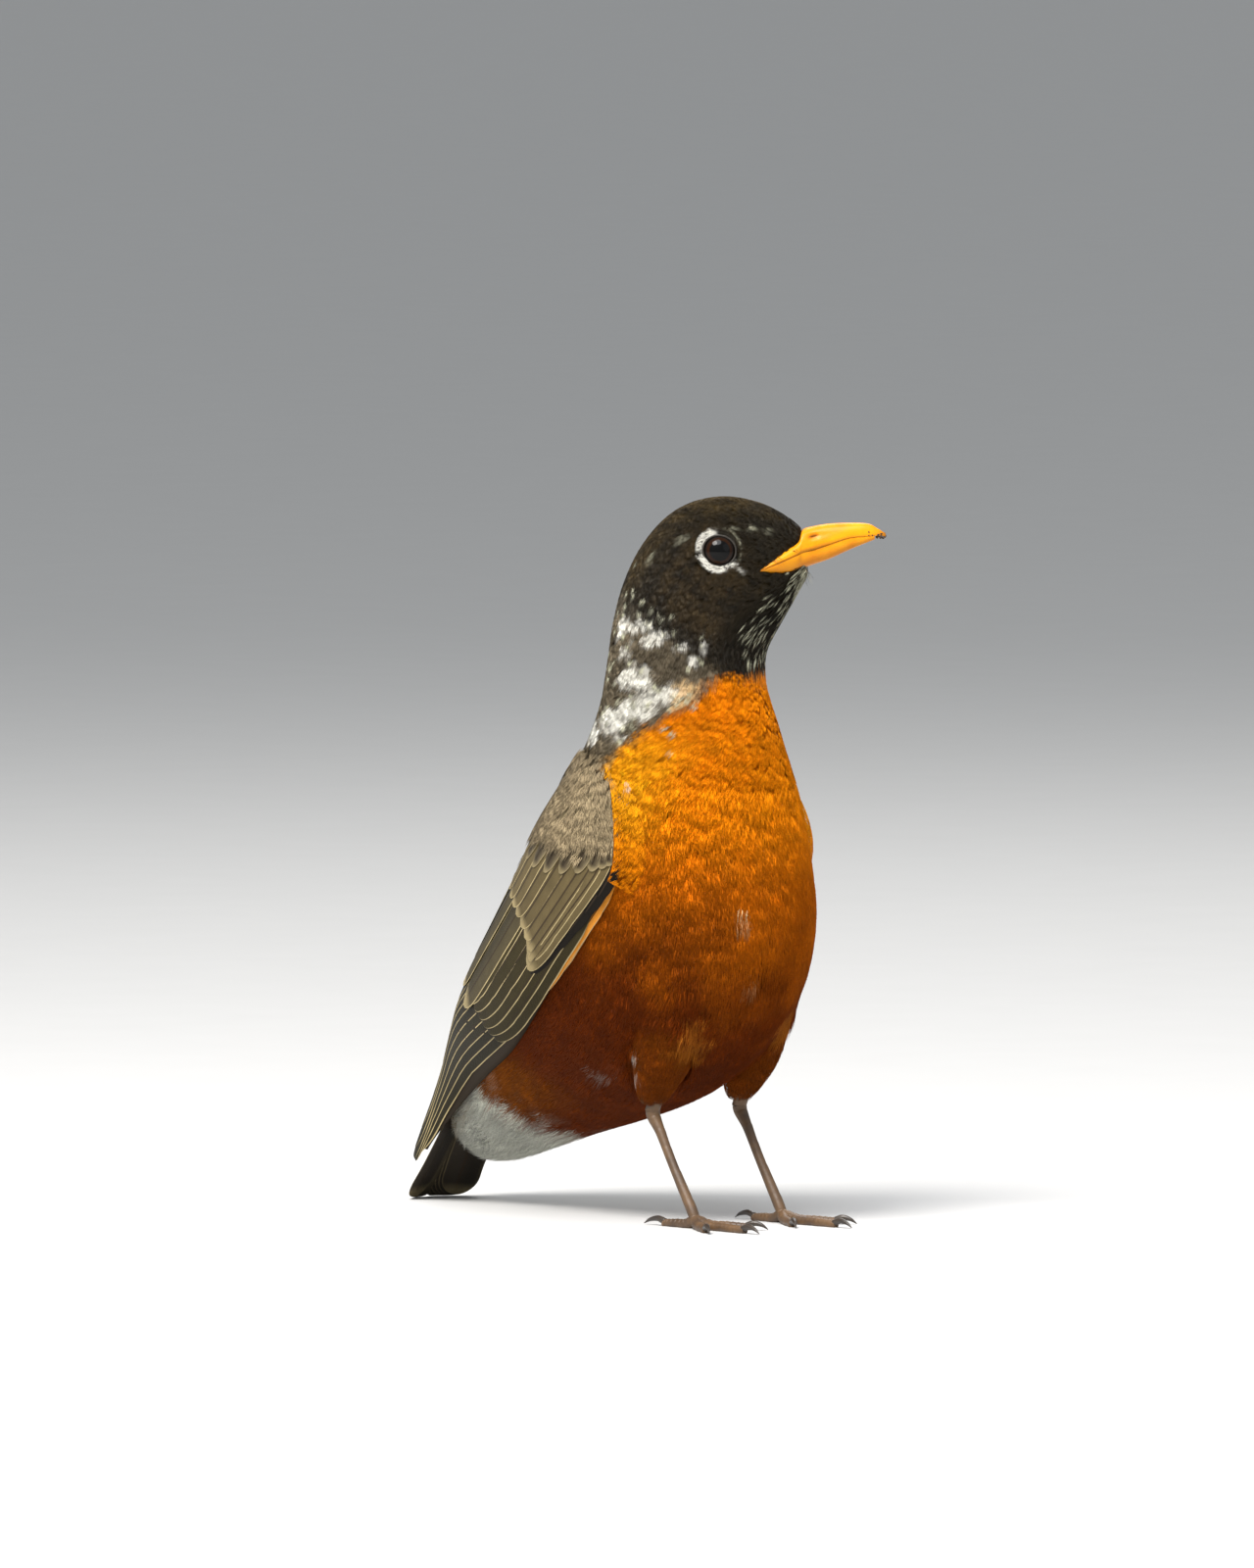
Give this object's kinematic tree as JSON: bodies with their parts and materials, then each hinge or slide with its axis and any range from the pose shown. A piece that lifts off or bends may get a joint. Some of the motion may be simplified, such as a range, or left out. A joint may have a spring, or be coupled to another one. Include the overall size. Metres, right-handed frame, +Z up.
{
  "type": "american robin",
  "caption": "Still model of a thrush-like songbird standing upright on slim legs, head turned to its left, wings folded and tail tip resting on the floor.",
  "frame": {"origin": "middle of the model's box, on the floor it stands on", "axes": "+Z up, the bird faces -Y, its left side is at +X"},
  "size_m": [0.0737, 0.1474, 0.1788],
  "materials": {
    "plumage": "soft contour feathers: black hood with white marks, rust breast, grey-brown back, white vent",
    "vanes": "grey-brown flight and tail feathers with pale edges",
    "bill": "yellow horn, satin, darker towards the tip",
    "eye": "dark brown iris under a wet clear cornea",
    "leg": "brown scaled skin",
    "claw": "dark horn, satin"
  },
  "bodies": {
    "root": {"head": "plumage", "neck": "plumage", "trunk": "plumage", "thigh_right": "plumage", "thigh_left": "plumage", "wing_right": "vanes", "wing_left": "vanes", "tail": "vanes", "bill_upper": "bill", "bill_lower": "bill", "eye_right": "eye", "eye_left": "eye", "leg_right": "leg", "leg_left": "leg", "claw_inner_right": "claw", "claw_middle_right": "claw", "claw_outer_right": "claw", "claw_hind_right": "claw", "claw_inner_left": "claw", "claw_middle_left": "claw", "claw_outer_left": "claw", "claw_hind_left": "claw"}
  },
  "joints": []
}
